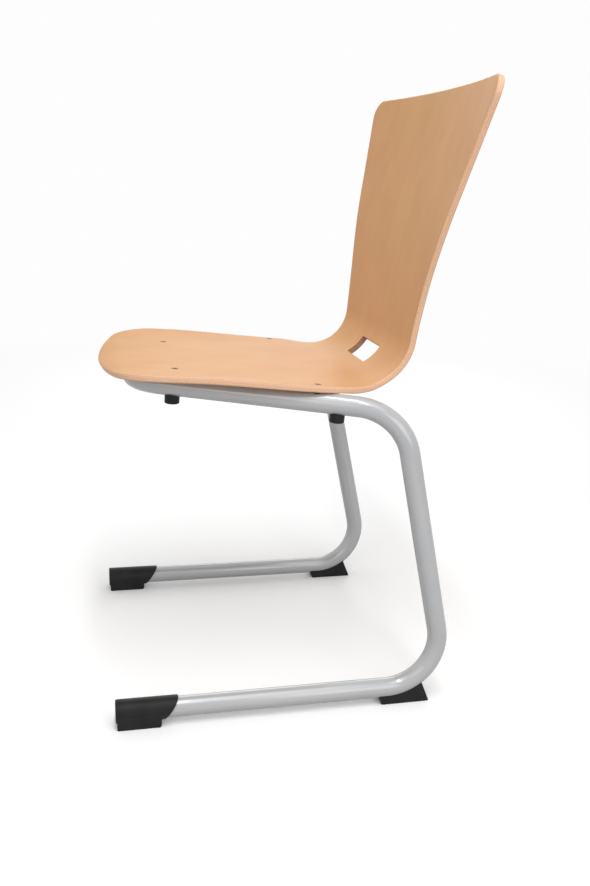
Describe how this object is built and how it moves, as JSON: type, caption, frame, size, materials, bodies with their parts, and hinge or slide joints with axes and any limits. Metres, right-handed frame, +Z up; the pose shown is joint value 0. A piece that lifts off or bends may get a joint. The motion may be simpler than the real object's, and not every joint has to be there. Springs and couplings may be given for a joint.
{
  "type": "choir chair",
  "caption": "Stacking seat with a moulded plywood shell, a hand slot and a cantilever frame of one bent steel tube on plastic feet.",
  "frame": {"origin": "on the floor, under the middle of the overall footprint", "axes": "+X to the sitter's left, +Y to the back of the chair, +Z up; the sitter faces -Y"},
  "size_m": [0.4838, 0.5026, 0.851],
  "materials": {
    "ply": "clear lacquered beech veneer",
    "coated_steel": "silver powder coat",
    "zinc_steel": "zinc plated",
    "dark_steel": "burnished dark",
    "black_plastic": "fine grain moulded"
  },
  "bodies": {
    "root": {"seat_shell": "ply", "frame_tube": "coated_steel", "tie_tube": "coated_steel", "seat_screws": "dark_steel", "rivet_nuts": "zinc_steel", "rail_spacers": "black_plastic", "bumper_front_left": "black_plastic", "bumper_front_right": "black_plastic", "bumper_rear_left": "black_plastic", "bumper_rear_right": "black_plastic", "front_cap_left": "black_plastic", "front_cap_right": "black_plastic", "rear_glide_left": "black_plastic", "rear_glide_right": "black_plastic"}
  },
  "joints": []
}
